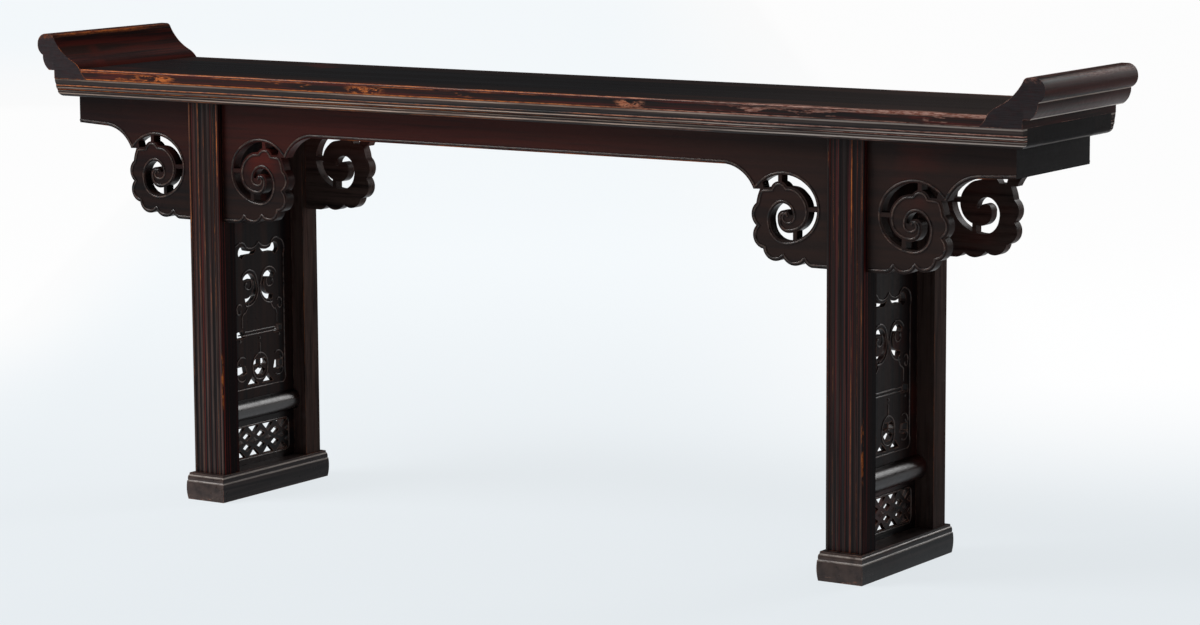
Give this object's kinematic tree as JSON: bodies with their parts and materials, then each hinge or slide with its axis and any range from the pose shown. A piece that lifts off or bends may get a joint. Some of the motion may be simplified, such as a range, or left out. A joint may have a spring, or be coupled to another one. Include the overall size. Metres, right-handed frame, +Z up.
{
  "type": "altar table",
  "caption": "Long narrow altar table with everted end flanges on a framed top, forked beaded legs, pierced cloud spandrels under a straight apron, and openwork trestle ends on block feet",
  "frame": {"origin": "on the floor, under the middle of the top", "axes": "+X along the table to the right as seen from the front, -Y towards the front, +Z up"},
  "size_m": [2.3214, 0.381, 0.95],
  "materials": {
    "top_lacquer": "dark lacquer, worn orange on the arrises",
    "red_lacquer": "dark red-brown lacquer, worn",
    "carved_lacquer": "dark brown lacquer, worn orange on the raised edges",
    "leg_lacquer": "dark brown lacquer, rubbed on the beads",
    "bare_underside": "unlacquered old wood"
  },
  "bodies": {
    "root": {"top_rail_front": "top_lacquer", "top_rail_back": "top_lacquer", "top_end_rail_right": "top_lacquer", "top_end_rail_left": "top_lacquer", "top_panel": "top_lacquer", "top_battens": "bare_underside", "flange_right": "red_lacquer", "flange_left": "red_lacquer", "apron_front": "red_lacquer", "apron_back": "red_lacquer", "apron_end_right": "red_lacquer", "apron_end_left": "red_lacquer", "spandrel_front_right": "carved_lacquer", "spandrel_back_right": "carved_lacquer", "spandrel_front_left": "carved_lacquer", "spandrel_back_left": "carved_lacquer", "leg_front_right": "leg_lacquer", "leg_back_right": "leg_lacquer", "leg_front_left": "leg_lacquer", "leg_back_left": "leg_lacquer", "foot_right": "leg_lacquer", "foot_left": "leg_lacquer", "lattice_panel_right": "carved_lacquer", "lattice_panel_left": "carved_lacquer", "side_stretcher_right": "leg_lacquer", "side_stretcher_left": "leg_lacquer", "side_panel_right": "carved_lacquer", "side_panel_left": "carved_lacquer", "side_top_rail_right": "bare_underside", "side_top_rail_left": "bare_underside"}
  },
  "joints": []
}
